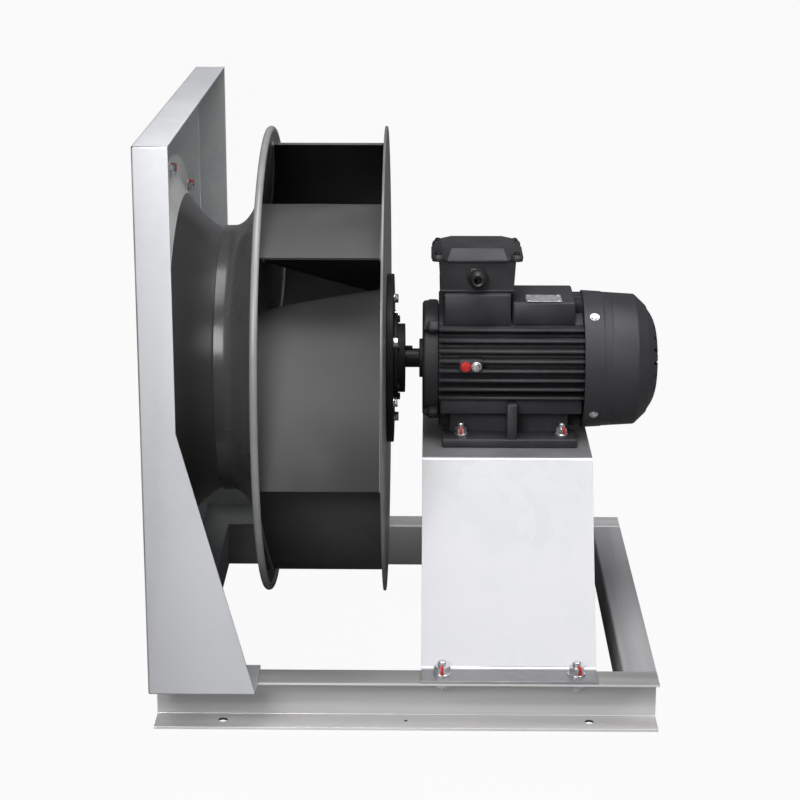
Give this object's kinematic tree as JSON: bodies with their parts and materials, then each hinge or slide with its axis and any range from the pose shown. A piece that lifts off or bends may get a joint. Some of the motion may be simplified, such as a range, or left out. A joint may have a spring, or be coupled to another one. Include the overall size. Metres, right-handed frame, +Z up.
{
  "type": "airfoil centrifugal plug fan",
  "caption": "Backward curved airfoil wheel between an inlet cone in a square panel and a foot mounted motor on a folded stand and channel base.",
  "frame": {"origin": "middle of the bounding box footprint, at the underside of the base rails", "axes": "+X along the shaft from the inlet panel to the motor, +Z up, -Y on the side of the cable gland"},
  "size_m": [0.6098, 0.642, 0.7023],
  "materials": {
    "galvanised_sheet": "satin galvanised sheet, slightly mottled",
    "base_steel": "grey galvanised channel, brushed along its length",
    "cone_paint": "semi-gloss dark grey paint",
    "wheel_paint": "semi-gloss dark grey paint over welded sheet",
    "hub_black": "matt black",
    "motor_casting_paint": "satin charcoal paint on a fine cast texture",
    "motor_cover_paint": "satin charcoal paint on drawn sheet",
    "bright_steel": "turned steel",
    "zinc_plate": "bright zinc plate with red torque marks",
    "winding_copper": "varnished laminations and winding heads",
    "black_plastic": "matt moulded",
    "bare_plate": "bare satin plate",
    "red_lacquer": "steel screw under red marking lacquer"
  },
  "bodies": {
    "root": {"base_rail_near": "base_steel", "base_rail_far": "base_steel", "base_rail_inlet_end": "base_steel", "base_rail_motor_end": "base_steel", "inlet_panel": "galvanised_sheet", "inlet_cone": "cone_paint", "motor_stand": "galvanised_sheet", "stand_bolt_1": "zinc_plate", "stand_bolt_2": "zinc_plate", "stand_bolt_3": "zinc_plate", "stand_bolt_4": "zinc_plate", "motor_foot_bolt_1": "zinc_plate", "motor_foot_bolt_2": "zinc_plate", "motor_foot_bolt_3": "zinc_plate", "motor_foot_bolt_4": "zinc_plate", "motor_frame": "motor_casting_paint", "drive_end_shield": "motor_casting_paint", "fan_end_shield": "motor_casting_paint", "fan_cover": "motor_cover_paint", "stator_pack": "winding_copper", "drive_bearing_outer": "bright_steel", "fan_bearing_outer": "bright_steel", "terminal_box": "motor_casting_paint", "terminal_box_lid": "motor_casting_paint", "terminal_block": "black_plastic", "cable_gland": "black_plastic", "nameplate": "bare_plate", "earth_screw_1": "red_lacquer", "earth_screw_2": "zinc_plate"},
    "rotor": {"wheel_shroud": "wheel_paint", "wheel_backplate": "wheel_paint", "blade_1": "wheel_paint", "blade_2": "wheel_paint", "blade_3": "wheel_paint", "blade_4": "wheel_paint", "blade_5": "wheel_paint", "blade_6": "wheel_paint", "hub_plate": "hub_black", "hub_boss": "hub_black", "hub_bolt_1": "zinc_plate", "hub_bolt_2": "zinc_plate", "hub_bolt_3": "zinc_plate", "hub_bolt_4": "zinc_plate", "hub_bolt_5": "zinc_plate", "hub_bolt_6": "zinc_plate", "rotor_shaft": "bright_steel", "shaft_key": "bright_steel", "rotor_core": "bright_steel", "drive_bearing_inner": "bright_steel", "fan_bearing_inner": "bright_steel", "cooling_fan": "black_plastic"}
  },
  "joints": [
    {"name": "rotor_spin", "type": "hinge", "parent": "root", "child": "rotor", "pos_m": [-0.0369, 0, 0.3763], "axis": [1, 0, 0], "continuous": true}
  ]
}
